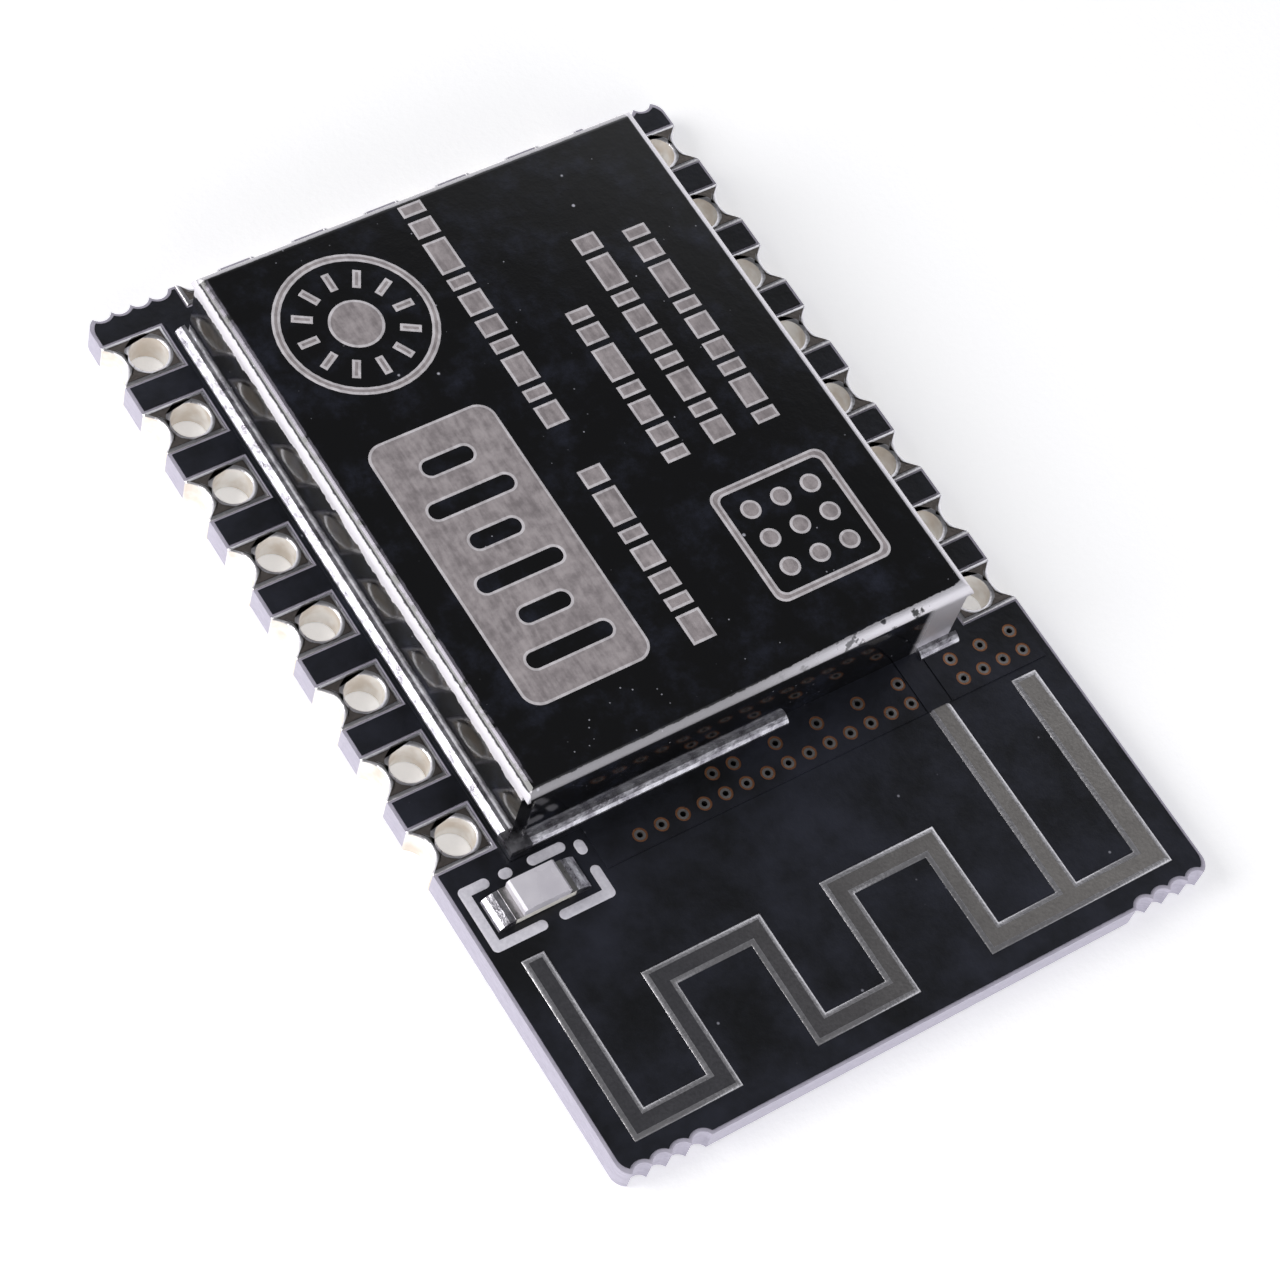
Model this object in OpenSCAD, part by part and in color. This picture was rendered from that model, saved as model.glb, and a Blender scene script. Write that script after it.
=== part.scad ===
// Surface-mount radio module: a castellated board with a printed meander antenna,
// a status light and a soldered shield can over the radio, memory and crystal.
// Millimetres. The origin is the middle of the board on its underside, +Y points
// away from the antenna and +Z is up.

/* [Board] */
// Width of the board, across its two rows of side pads
board_w = 16; // [15.4:0.1:20]
// Length of the board, from the antenna's end to the rear pads
board_l = 24; // [23.8:0.1:30]
// Thickness of the board, from the lower copper to the upper copper
board_t = 0.8; // [0.5:0.1:2]
// Thickness of each copper layer with its finish
copper_t = 0.05; // [0.04:0.005:0.1]
// Thickness of the solder mask on the bare laminate
mask_t = 0.03; // [0.01:0.005:0.035]
// Height of the solder mask above the copper that it covers
mask_cover = 0.015; // [0.005:0.005:0.04]
// Radius of the board's corners
corner_r = 0.4; // [0.1:0.05:0.8]
// Bare rim between the solder mask and the board's edge
mask_inset = 0.08; // [0.02:0.01:0.2]

/* [Edge pads] */
// Distance between neighbouring pads
pad_pitch = 2; // [1.6:0.05:2.05]
// Smallest gap between the side pads and the printed frame in front of them
pad_front_gap = 0.4; // [0.2:0.05:0.5]
// Smallest distance from the side of the board to the middle of a rear pad
rear_pad_side_in = 2.9; // [2.6:0.05:3]
// Distance from the rear edge to the middle of the first side pad
rear_setback = 1.45; // [1.3:0.05:2]
// Width of a pad along the board's edge
pad_w = 1.2; // [1.15:0.05:1.4]
// Length of a side pad, inwards from the edge
side_pad_l = 1.55; // [1.45:0.01:1.57]
// Length of a rear pad, inwards from the edge
rear_pad_l = 0.62; // [0.5:0.01:0.8]
// Diameter of the plated hole in a side pad
pad_hole_d = 0.93; // [0.7:0.01:0.96]
// Distance from the board's edge to the middle of that hole
hole_inset = 0.92; // [0.9:0.01:0.98]
// Diameter of the round notch in the board's edge at each pad
notch_d = 1.24; // [1:0.02:1.28]
// Distance of the notch's middle outside the board's edge
notch_out = 0.32; // [0.26:0.01:0.5]
// Thickness of the plating in holes and notches
plating_t = 0.04; // [0.02:0.005:0.05]
// Bare gap between a pad and the solder mask
pad_gap = 0.06; // [0.02:0.01:0.07]

/* [Break-off marks] */
// Number of drill marks beside each corner, on the short edges
bites = 4; // [1:1:4]
// Distance between neighbouring drill marks
bite_pitch = 0.5; // [0.45:0.01:0.6]
// Diameter of a drill mark
bite_d = 0.56; // [0.4:0.02:0.7]
// Distance of a drill mark's middle outside the board's edge
bite_out = 0.1; // [0.06:0.01:0.16]
// Distance from the side of the board to the first drill mark
bite_start = 0.45; // [0.4:0.05:0.8]

/* [Antenna] */
// Width of the antenna's track
track_w = 0.6; // [0.4:0.05:0.8]
// Width of the antenna's grounded leg
ground_leg_w = 0.72; // [0.6:0.02:0.9]
// Distance from the side of the board to the free leg's middle
leg_inset = 0.93; // [0.85:0.01:1.2]
// Distance between legs that are joined at the board's end
outer_loop_w = 2.2; // [1.8:0.05:2.25]
// Distance from the right-hand side of the board to the grounded leg's middle
ground_leg_in = 1.07; // [0.9:0.01:1.4]
// Distance from the fed leg to the grounded leg
feed_to_ground = 2.3; // [1.6:0.05:2.35]
// Distance from the board's end to the middle of the antenna's outer runs
outer_run_in = 0.92; // [0.8:0.02:1.4]
// Distance from the outer runs to the inner runs
run_spacing = 2.68; // [1.8:0.02:3]
// Gap between the free leg's end and the printed frame behind it
free_leg_gap = 0.395; // [0.2:0.005:1]
// Gap between the ground copper and the two straight legs
leg_clearance = 0.21; // [0.1:0.01:0.4]
// Gap on each side of the feed line where it crosses the ground copper
feed_gap = 0.1; // [0.06:0.01:0.2]

/* [Ground copper] */
// Reach of the ground copper past the shield's side walls
pour_past_wall = 0.28; // [0.26:0.01:0.29]
// Reach of the ground copper inside the shield's walls
pour_inside = 0.15; // [0.1:0.01:0.2]
// Distance from the shield's front wall to the front edge of the ground copper
strip_reach = 1.42; // [1.4:0.01:1.5]
// Distance from the right-hand side of the board to the front strip of ground copper
strip_side_in = 0.3; // [0.2:0.02:0.5]
// Gap between the printed frame and that strip
strip_gap = 0.165; // [0.1:0.005:0.4]
// Length of that strip, from its front edge towards the shield
strip_l = 1.37; // [1.3:0.01:1.4]
// Reach of the ground copper past the shield's front wall
pour_past_front = 0.3; // [0.28:0.01:0.34]
// Outside diameter of a stitching via
via_d = 0.26; // [0.2:0.01:0.3]
// Diameter of the hole in a via
via_hole_d = 0.14; // [0.08:0.01:0.18]
// Diameter of the opening in the solder mask at a via
via_window_d = 0.36; // [0.32:0.01:0.42]
// Distance between neighbouring vias
via_pitch = 0.575; // [0.5:0.005:0.58]
// Distance from the edge of the ground copper to the first row of vias
via_row_in = 0.34; // [0.3:0.01:0.4]
// Distance between the two rows of vias
via_row_gap = 0.56; // [0.5:0.01:0.58]
// Distance from the left-hand end of the ground copper's strip to the first via
via_start_in = 1.05; // [0.3:0.05:1.2]
// Smallest distance from a via's middle to the side of the copper that it joins
via_room = 0.14; // [0.14:0.01:0.3]
// Distance from the feed line's middle to the first via on its right
via_past_feed = 0.95; // [0.7:0.05:1.1]

/* [Shield] */
// Distance from the side pads to the shield's side walls
shield_side_gap = 0.425; // [0.4:0.005:0.6]
// Distance from the rear edge of the board to the shield's rear wall
shield_rear_in = 1.2; // [1.15:0.01:1.4]
// Height of the shield can above the board
shield_h = 2.15; // [2.1:0.05:3.5]
// Distance from the board's end to the shield's front wall
shield_in = 7.8; // [7.75:0.05:7.9]
// Thickness of the shield's sheet
sheet_t = 0.2; // [0.1:0.01:0.25]
// Outside radius of the shield's bends
bend_r = 0.3; // [0.28:0.01:0.4]
// Thickness of the marks printed on the shield
print_t = 0.012; // [0.005:0.001:0.03]

/* [Solder] */
// Width of the solder bead at the shield's foot
bead_w = 0.25; // [0.15:0.01:0.26]
// Height of the bead on the wall
bead_h = 0.2; // [0.1:0.01:0.4]
// Length of the bead along the front wall
front_bead_l = 6.9; // [5:0.1:7.5]
// Length of each separate dab of solder
dab_l = 1.1; // [0.6:0.05:1.4]

/* [Status light] */
// Length of the light over its two terminals
led_l = 1.6; // [1.5:0.05:1.7]
// Width of the light
led_w = 0.8; // [0.7:0.05:0.85]
// Height of the light's base, terminals included
led_base_h = 0.26; // [0.2:0.02:0.4]
// Height of the clear body above the base
led_lens_h = 0.28; // [0.2:0.02:0.6]
// Length of a terminal along the light
led_terminal_l = 0.2; // [0.14:0.02:0.35]
// Length of the solder past each terminal
led_solder_l = 0.4; // [0.25:0.05:0.45]
// Height of the solder on each terminal
led_solder_h = 0.24; // [0.1:0.02:0.26]
// Distance from the left-hand side of the board to the light's middle
led_side_in = 1.76; // [1.74:0.02:1.9]
// Distance from the shield's front wall to the light's middle
led_ahead = 1.28; // [1.26:0.01:1.34]
// Length of the printed frame around the light, along its strokes' middles
frame_l = 2.9; // [2.88:0.02:2.94]
// Width of that frame, along its strokes' middles
frame_w = 1.44; // [1.4:0.02:1.48]
// Width of the frame's strokes
stroke_w = 0.25; // [0.15:0.01:0.26]
// Thickness of the printed ink
ink_t = 0.015; // [0.005:0.005:0.03]

/* [Inside the shield] */
// Side of the radio chip's square package
radio_w = 5; // [4:0.1:5.2]
// Height of the radio chip
radio_h = 0.85; // [0.6:0.05:1.2]
// Side of the memory chip's moulded body
memory_w = 5.2; // [4:0.1:5.3]
// Height of the memory chip
memory_h = 1.75; // [1.2:0.05:1.8]
// Width of the memory chip over its leads
memory_span = 7.8; // [7.4:0.1:8]
// Length of the crystal
crystal_l = 3.2; // [2.5:0.1:3.3]
// Width of the crystal
crystal_w = 2.5; // [2:0.1:2.6]
// Height of the crystal
crystal_h = 0.75; // [0.5:0.05:1]
// Length of the small chip parts
chip_l = 1; // [0.8:0.05:1.05]
// Width of the small chip parts
chip_w = 0.5; // [0.3:0.05:0.55]
// Height of a capacitor or a coil
capacitor_h = 0.5; // [0.3:0.05:0.8]
// Height of a resistor
resistor_h = 0.35; // [0.2:0.05:0.5]
// Length of each metal end of a small chip part
chip_end_l = 0.24; // [0.15:0.01:0.3]
// Reach of a copper land past the terminal that stands on it
land_margin = 0.08; // [0.04:0.01:0.1]
// Gap between the shield's walls and the lands nearest to them
wall_gap = 0.3; // [0.25:0.05:0.4]
// Gap between neighbouring parts
part_gap = 0.3; // [0.2:0.05:0.4]

/* [Hidden] */
$fn = 48;

// A little more than enough, for cuts that run right through
over = 1;
half_w = board_w / 2;
half_l = board_l / 2;
// Heights of the laminate's faces, of the mask on it and of the mask over copper
laminate_z = copper_t;
laminate_top = board_t - copper_t;
mask_top = laminate_top + mask_t;
cover_top = board_t + mask_cover;

// Thickness of the mask on the sides of the copper that it covers
mask_skirt = 0.03;
// The shield's edges, its size and middle, and the height of its top
shield_w = board_w - 2 * side_pad_l - 2 * shield_side_gap;
shield_front = -half_l + shield_in;
shield_rear = half_l - shield_rear_in;
shield_l = shield_rear - shield_front;
shield_mid = (shield_front + shield_rear) / 2;
shield_top = cover_top + shield_h;

// The status light's middle, and the middle of its printed frame
led_x = -half_w + led_side_in;
led_y = shield_front - led_ahead;
frame_offset = [0.05, 0.04];
frame_x = led_x + frame_offset.x;
frame_y = led_y + frame_offset.y;
frame_reach = [(frame_l + stroke_w) / 2, (frame_w + stroke_w) / 2];
led_foil_t = 0.03;
led_chamfer = 0.06;
// The clear body fills the light's length between its terminals
led_lens_x = led_l / 2 - led_terminal_l;
// Points on the hollow slope of a solder fillet, as shares of its width and height
fillet_slope = [[0.94, 0.3], [0.7, 0.65], [0.35, 0.9]];
function fillet_section(w, h) =
    concat([[0, 0], [w, 0]], [for (p = fillet_slope) [w * p.x, h * p.y]], [[0, h]]);
// Breaks in the frame's strokes, measured from the middle of each side
frame_front_break = [-0.3, 0.28];
frame_side_break = [-0.12, 0.45];
frame_rear_first = -0.93;
frame_rear_dash = [-0.42, -0.34];
frame_rear_last = 0.32;
frame_corner_gap = 0.42;
frame_side_gap = 0.14;

// Number of pads that fit on each long side and along the rear edge
side_pads_room = half_l - rear_setback - (frame_y + frame_reach.y + pad_front_gap + pad_w / 2);
side_pads = floor(side_pads_room / pad_pitch) + 1;
rear_pads = floor((board_w - 2 * rear_pad_side_in) / pad_pitch) + 1;

// Edges of the ground copper: its front strip, and the part round the shield's foot
strip_left = frame_x + frame_reach.x + strip_gap;
strip_right = half_w - strip_side_in;
strip_front = shield_front - strip_reach;
pour_front = shield_front - pour_past_front;
pour_rear = shield_rear + pour_past_wall;
pour_half_w = shield_w / 2 + pour_past_wall;

// Middles of the antenna's legs, from the free leg to the fed one, and of its runs
leg_steps = [0, 1, 2, 3, 4, 5];
inner_loop_w = (board_w - leg_inset - ground_leg_in - feed_to_ground - 3 * outer_loop_w) / 2;
function leg_x(i) = -half_w + leg_inset + ceil(i / 2) * outer_loop_w + floor(i / 2) * inner_loop_w;
feed_x = leg_x(5);
ground_leg_x = feed_x + feed_to_ground;
outer_run_y = -half_l + outer_run_in;
inner_run_y = outer_run_y + run_spacing;
free_leg_end = frame_y - frame_reach.y - free_leg_gap;

// Stitching vias: their first places, how many fit, and which places the second row fills
via_start = strip_left + via_start_in;
via_row = floor((feed_x - track_w / 2 - feed_gap - via_room - via_start) / via_pitch) + 1;
via_second = [4, 5, 7, 9, 11, 13];
corner_via_start = feed_x + via_past_feed;
corner_via_row = floor((strip_right - via_room - corner_via_start) / via_pitch) + 1;
corner_via_second = [0, 1.5, 3];

// Room inside the shield, and the space that a small chip part takes with its lands
room_x = shield_w / 2 - sheet_t;
room_front = shield_front + sheet_t;
room_rear = shield_rear - sheet_t;
chip_land_l = chip_l + 2 * land_margin;
chip_land_w = chip_w + 2 * land_margin;
chip_step = chip_land_l + part_gap;
front_row_end = room_front + wall_gap + chip_land_w + part_gap;

// Places of the inner parts, with the small ones' turn: a row behind the front wall, a
// column behind the feed line and a column along each side wall
function front_row(i) =
    [-room_x + wall_gap + chip_land_l / 2 + i * chip_step, room_front + wall_gap + chip_land_w / 2, 0];
function feed_column(i) = [feed_x, room_front + wall_gap + chip_land_l / 2 + i * chip_step, 90];
function wall_column(side, i) =
    [side * (room_x - wall_gap - chip_land_w / 2),
     room_rear - wall_gap - chip_land_l / 2 - i * chip_step, 90];
radio_at = [feed_x - chip_land_w / 2 - part_gap - radio_w / 2, front_row_end + radio_w / 2];
memory_at = [0, room_rear - wall_gap - memory_w / 2];
crystal_at = [-room_x + wall_gap + crystal_w / 2, front_row_end + crystal_l / 2];
capacitor_at = concat(
    [for (i = [0 : 3]) wall_column(-1, i)],
    [for (i = [0 : 2]) wall_column(1, i)],
    [for (i = [0 : 2]) front_row(i)]
);
resistor_at = [front_row(3), front_row(4), feed_column(2), feed_column(3)];
coil_at = [feed_column(0), feed_column(1), wall_column(1, 3)];

// Marks on the shield, placed from its middle; a row of bars has a place and its first and
// last bar
mark_line = 0.2;
dial_at = [-3.25, 4.75];
dial_r = 1.95;
dial_hub_r = 0.66;
dial_ticks = 12;
dial_tick_in = 1;
dial_tick_l = 0.5;
panel_at = [-3.25, -2];
panel = [3.3, 7.4];
panel_r = 0.45;
panel_slots = 6;
panel_slot_l = 2.2;
panel_short_slot_l = 1.3;
panel_slot_w = 0.42;
panel_slot_r = 0.2;
dot_frame_at = [3.2, -4.3];
dot_frame_w = 3.2;
dot_frame_r = 0.3;
dot_rows = 3;
dot_pitch = 0.83;
dot_r = 0.25;
bar_rows = [
    [-0.75, 0.4, 0, 9], [-0.75, -5.9, 2, 8],
    [1.3, -1.6, 3, 9], [2.55, -1.6, 0, 8], [3.8, -1.6, 1, 9]
];
bar_w = 0.62;
bar_gap = 0.16;
bar_lengths = [0.62, 0.34, 0.8, 0.34, 0.5, 0.62, 0.34, 0.95, 0.5, 0.34];
function bar_start(i) = i < 1 ? 0 : bar_start(i - 1) + bar_lengths[i - 1] + bar_gap;

// Details of the chips' leads
radio_side_leads = 8;
radio_lead_pitch = 0.5;
radio_lead = [0.4, 0.22];
// Distance from the radio chip's side to the slug under its middle
radio_slug_in = 0.8;
radio_slug_w = radio_w - 2 * radio_slug_in;
lead_foil_t = 0.05;
memory_side_leads = 4;
memory_lead_pitch = 1.27;
memory_lead_w = 0.41;
memory_lead_t = 0.2;
memory_foot_l = 0.65;
memory_stand = 0.1;
crystal_pad = [0.9, 0.75];
crystal_cap_in = 0.2;
crystal_cap_r = 0.2;
crystal_cap_h = 0.25;

function side_y(i) = half_l - rear_setback - i * pad_pitch;
function rear_x(i) = (i - (rear_pads - 1) / 2) * pad_pitch;

// --- Shared outlines ---

// A rectangle with rounded corners about the origin
module round_rect(w, l, r) {
    square([w - 2 * r, l], center = true);
    square([w, l - 2 * r], center = true);
    for (x = [-1, 1], y = [-1, 1])
        translate([x * (w / 2 - r), y * (l / 2 - r)]) circle(r);
}

// A straight printed stroke with round ends
module stroke(a, b, w) {
    d = b - a;
    translate(a) rotate(atan2(d.y, d.x)) {
        translate([0, -w / 2]) square([norm(d), w]);
        circle(d = w);
        translate([norm(d), 0]) circle(d = w);
    }
}

// Puts what follows at each pad, with the board's edge at x = 0 and +X outwards
module at_left_pads() {
    for (i = [0 : side_pads - 1]) translate([-half_w, side_y(i)]) rotate(180) children();
}
module at_right_pads() {
    for (i = [0 : side_pads - 1]) translate([half_w, side_y(i)]) children();
}
module at_rear_pads() {
    for (i = [0 : rear_pads - 1]) translate([rear_x(i), half_l]) rotate(90) children();
}
module at_side_pads() {
    at_left_pads() children();
    at_right_pads() children();
}

// The plated pad's plan at the board's edge, and what it takes out of the laminate
module pad_area(l, gap = 0) {
    translate([-l - gap, -pad_w / 2 - gap]) square([l + 2 * gap + over, pad_w + 2 * gap]);
}
module notch(grow = 0) {
    translate([notch_out, 0]) circle(d = notch_d + 2 * grow);
}
module pad_hole(grow = 0) {
    translate([-hole_inset, 0]) circle(d = pad_hole_d + 2 * grow);
}
module plated_notch(l) {
    intersection() {
        notch(plating_t);
        pad_area(l);
    }
    notch();
}

// Drill marks left on the short edges where the board was broken out of its panel
module break_off_marks(grow = 0) {
    for (sx = [-1, 1], sy = [-1, 1], i = [0 : bites - 1])
        translate([sx * (half_w - bite_start - i * bite_pitch), sy * (half_l + bite_out)])
            circle(d = bite_d + 2 * grow);
}

// The antenna's copper: legs and runs, the fed leg's line and the grounded leg
module antenna_area(grow = 0) {
    w = track_w + 2 * grow;
    top = strip_front - leg_clearance + grow;
    low = outer_run_y - w / 2;
    for (i = leg_steps) {
        high = i == 0 ? free_leg_end + grow : i == 5 ? top : inner_run_y + w / 2;
        translate([leg_x(i) - w / 2, low]) square([w, high - low]);
    }
    for (i = [0, 2, 4])
        translate([leg_x(i) - w / 2, low])
            square([leg_x(i + 1) - leg_x(i) + w, w]);
    for (i = [1, 3])
        translate([leg_x(i) - w / 2, inner_run_y - w / 2])
            square([leg_x(i + 1) - leg_x(i) + w, w]);
    leg_w = ground_leg_w + 2 * grow;
    translate([ground_leg_x - leg_w / 2, low]) square([leg_w, top - low]);
    translate([feed_x, low]) square([feed_to_ground, w]);
}

// The line from the fed leg to the parts inside the shield
module feed_line_area(grow = 0) {
    w = track_w + 2 * grow;
    low = strip_front - leg_clearance;
    translate([feed_x - w / 2, low]) square([w, room_front + wall_gap - low]);
}

// The ground copper's outline, one strip in front of the shield and one under it
module pour_outline(grow = 0) {
    translate([strip_left - grow, strip_front - grow])
        square([strip_right - strip_left + 2 * grow, strip_l + 2 * grow]);
    translate([-pour_half_w - grow, pour_front - grow])
        square([2 * pour_half_w + 2 * grow, pour_rear - pour_front + 2 * grow]);
}

// Puts what follows at each stitching via
module at_vias() {
    y1 = strip_front + via_row_in;
    y2 = y1 + via_row_gap;
    for (i = [0 : via_row - 1]) translate([via_start + i * via_pitch, y1]) children();
    for (i = via_second) if (i < via_row) translate([via_start + i * via_pitch, y2]) children();
    for (i = [0 : corner_via_row - 1])
        translate([corner_via_start + i * via_pitch, y1]) children();
    for (i = corner_via_second)
        if (i < corner_via_row) translate([corner_via_start + i * via_pitch, y2]) children();
}

// --- Places and lands of the parts on the board ---

module at_chips(list) {
    for (p = list) translate([p.x, p.y]) rotate(p.z) children();
}
module chip_lands_area() {
    for (s = [-1, 1])
        translate([s * (chip_l / 2 - chip_end_l / 2), 0])
            square([chip_end_l + 2 * land_margin, chip_w + 2 * land_margin], center = true);
}
// The radio chip's leads around its four sides, and the slug under its middle
module radio_leads_area(grow = 0) {
    for (turn = [0, 90, 180, 270], i = [0 : radio_side_leads - 1])
        rotate(turn)
            translate([radio_w / 2 - radio_lead.x / 2,
                       (i - (radio_side_leads - 1) / 2) * radio_lead_pitch])
                square([radio_lead.x + grow, radio_lead.y + grow], center = true);
    square(radio_slug_w + grow, center = true);
}
module at_memory_leads() {
    for (turn = [0, 180], i = [0 : memory_side_leads - 1])
        rotate(turn)
            translate([0, (i - (memory_side_leads - 1) / 2) * memory_lead_pitch])
                children();
}
module memory_lands_area() {
    at_memory_leads()
        translate([memory_span / 2 - memory_foot_l - land_margin,
                   -memory_lead_w / 2 - land_margin])
            square([memory_foot_l + 2 * land_margin, memory_lead_w + 2 * land_margin]);
}
module crystal_pads_area(grow = 0) {
    for (x = [-1, 1], y = [-1, 1])
        translate([x * (crystal_w - crystal_pad.y) / 2, y * (crystal_l - crystal_pad.x) / 2])
            square([crystal_pad.y + grow, crystal_pad.x + grow], center = true);
}
module led_lands_area() {
    for (s = [-1, 1])
        translate([s * (led_l / 2 + led_solder_l / 2 - led_terminal_l / 2), 0])
            square([led_solder_l + led_terminal_l, led_w], center = true);
}
module inner_lands_area() {
    at_chips(concat(capacitor_at, resistor_at, coil_at)) chip_lands_area();
    translate(radio_at) radio_leads_area(land_margin);
    translate(memory_at) memory_lands_area();
    translate(crystal_at) crystal_pads_area(land_margin);
}
module lands_area() {
    inner_lands_area();
    translate([led_x, led_y]) led_lands_area();
}

// --- Solder at the shield's foot ---

// One straight bead, its back on the wall at y = 0, its foot towards -Y
module bead(l) {
    rotate([90, 0, 90]) linear_extrude(l) mirror([1, 0, 0]) polygon(fillet_section(bead_w, bead_h));
}
// The window in the solder mask that a straight bead fills
module bead_area(l) {
    translate([0, -bead_w]) square([l, bead_w]);
}
// The bead along the left wall and the front wall, joined round the open corner
module at_left_bead() {
    translate([-shield_w / 2, shield_rear]) rotate(-90) children();
}
module at_front_bead() {
    translate([-shield_w / 2 + bend_r, shield_front]) children();
}
module bead_corner_area() {
    translate([-shield_w / 2 - bead_w, shield_front - bead_w])
        square(bead_w + bend_r);
}
// Separate dabs: one at the right of the front wall, three on the right, two behind
module at_dabs() {
    translate([shield_w / 2 - dab_l, shield_front]) children();
    for (i = [-1, 0, 1])
        translate([shield_w / 2, shield_mid + i * shield_l / 3 - dab_l / 2]) rotate(90) children();
    for (x = [-1, 1])
        translate([x * shield_w / 4 + dab_l / 2, shield_rear]) rotate(180) children();
}
module solder_windows() {
    at_left_bead() bead_area(shield_l - bend_r);
    at_front_bead() bead_area(front_bead_l);
    bead_corner_area();
    at_dabs() bead_area(dab_l);
}

// --- The board ---

module board_laminate() {
    color([0.62, 0.6, 0.66])
        translate([0, 0, laminate_z]) linear_extrude(laminate_top - laminate_z)
            difference() {
                round_rect(board_w, board_l, corner_r);
                break_off_marks();
                at_side_pads() {
                    pad_hole(plating_t);
                    plated_notch(side_pad_l);
                }
                at_rear_pads() plated_notch(rear_pad_l);
                at_vias() circle(d = via_d);
            }
}

// The solder mask's outline on either face, open at the edge pads
module mask_area() {
    difference() {
        round_rect(board_w - 2 * mask_inset, board_l - 2 * mask_inset, corner_r);
        break_off_marks(mask_inset);
        at_side_pads() pad_area(side_pad_l, pad_gap);
        at_rear_pads() pad_area(rear_pad_l, pad_gap);
    }
}

// The upper mask steps up over the ground copper and dips beside the feed line
module solder_mask_top() {
    color([0.1, 0.1, 0.12])
        difference() {
            union() {
                translate([0, 0, laminate_top]) linear_extrude(mask_t) mask_area();
                translate([0, 0, laminate_top]) linear_extrude(cover_top - laminate_top)
                    intersection() {
                        mask_area();
                        difference() {
                            pour_outline(mask_skirt);
                            inner_keep_out(mask_skirt);
                            difference() {
                                feed_line_area(feed_gap - mask_skirt);
                                feed_line_area(mask_skirt);
                            }
                        }
                    }
            }
            copper_layer() {
                ground_copper_area();
                antenna_area();
                feed_line_area();
            }
            translate([0, 0, laminate_top]) linear_extrude(over) {
                antenna_area();
                lands_area();
                solder_windows();
                at_vias() circle(d = via_window_d);
            }
        }
}

module solder_mask_bottom() {
    color([0.1, 0.1, 0.12])
        translate([0, 0, laminate_z - mask_t]) linear_extrude(mask_t) mask_area();
}

// Raises what follows as the upper copper layer
module copper_layer() {
    translate([0, 0, laminate_top]) linear_extrude(copper_t) children();
}

// One pad: two lands joined by the plated notch and, on the sides, a plated hole
module plated_pad(l, with_hole) {
    linear_extrude(copper_t) pad_plan(l, with_hole);
    translate([0, 0, laminate_top]) linear_extrude(copper_t) pad_plan(l, with_hole);
    translate([0, 0, copper_t]) linear_extrude(laminate_top - laminate_z) {
        difference() {
            intersection() {
                notch(plating_t);
                translate([-l, -pad_w / 2]) square([l, pad_w]);
            }
            notch();
        }
        if (with_hole)
            difference() {
                pad_hole(plating_t);
                pad_hole();
            }
    }
}
module pad_plan(l, with_hole) {
    difference() {
        translate([-l, -pad_w / 2]) square([l, pad_w]);
        notch();
        if (with_hole) pad_hole();
    }
}
module pads_left() {
    color([0.42, 0.39, 0.38]) at_left_pads() plated_pad(side_pad_l, true);
}
module pads_right() {
    color([0.42, 0.39, 0.38]) at_right_pads() plated_pad(side_pad_l, true);
}
module pads_rear() {
    color([0.42, 0.39, 0.38]) at_rear_pads() plated_pad(rear_pad_l, false);
}

module antenna_trace() {
    color([0.4, 0.38, 0.37])
        copper_layer() {
            antenna_area();
            feed_line_area();
        }
}

// Ground copper, clear of the feed line and of every land
module ground_copper_area() {
    difference() {
        pour_outline();
        feed_line_area(feed_gap);
        inner_keep_out();
        at_vias() circle(d = via_d);
    }
}
// Ground copper stops short of the parts' lands, which stand on the bare laminate
module inner_keep_out(shrink = 0) {
    rim = sheet_t + pour_inside + shrink;
    translate([0, shield_mid]) square([shield_w - 2 * rim, shield_l - 2 * rim], center = true);
}
module ground_copper() {
    color([0.72, 0.45, 0.3]) copper_layer() ground_copper_area();
}
module ground_vias() {
    color([0.6, 0.58, 0.56])
        translate([0, 0, laminate_z]) linear_extrude(board_t - laminate_z)
            at_vias() difference() {
                circle(d = via_d);
                circle(d = via_hole_d);
            }
}
module component_lands() {
    color([0.75, 0.74, 0.72]) copper_layer() lands_area();
}

// --- The shield ---

// Wall and bend in section: the wall's outer face at x = 0, its foot at y = 0
module wall_section() {
    square([sheet_t, shield_h - bend_r]);
    translate([bend_r, shield_h - bend_r]) bend_section();
}
module bend_section() {
    intersection() {
        difference() {
            circle(bend_r);
            circle(bend_r - sheet_t);
        }
        translate([-bend_r, 0]) square(bend_r);
    }
}
// One wall of a length, centred on x = 0, its outer face at y = 0 facing -Y
module shield_wall(l) {
    translate([-l / 2, 0, 0]) rotate([90, 0, 90]) linear_extrude(l) wall_section();
}
// The four walls, the top and its round corners are one folded sheet, slit at the corners
module shield_can() {
    color([0.09, 0.09, 0.1])
        translate([0, shield_mid, cover_top]) {
            translate([0, 0, shield_h - sheet_t]) linear_extrude(sheet_t)
                square([shield_w - 2 * bend_r, shield_l - 2 * bend_r], center = true);
            for (s = [0, 180]) {
                rotate(s) translate([0, -shield_l / 2, 0]) shield_wall(shield_w - 2 * bend_r);
                rotate(s + 90) translate([0, -shield_w / 2, 0]) shield_wall(shield_l - 2 * bend_r);
            }
            for (x = [0, 1], y = [0, 1])
                mirror([x, 0, 0]) mirror([0, y, 0])
                    translate([shield_w / 2 - bend_r, shield_l / 2 - bend_r, shield_h - bend_r])
                        rotate_extrude(angle = 90) mirror([1, 0, 0]) bend_section();
        }
}

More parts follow.
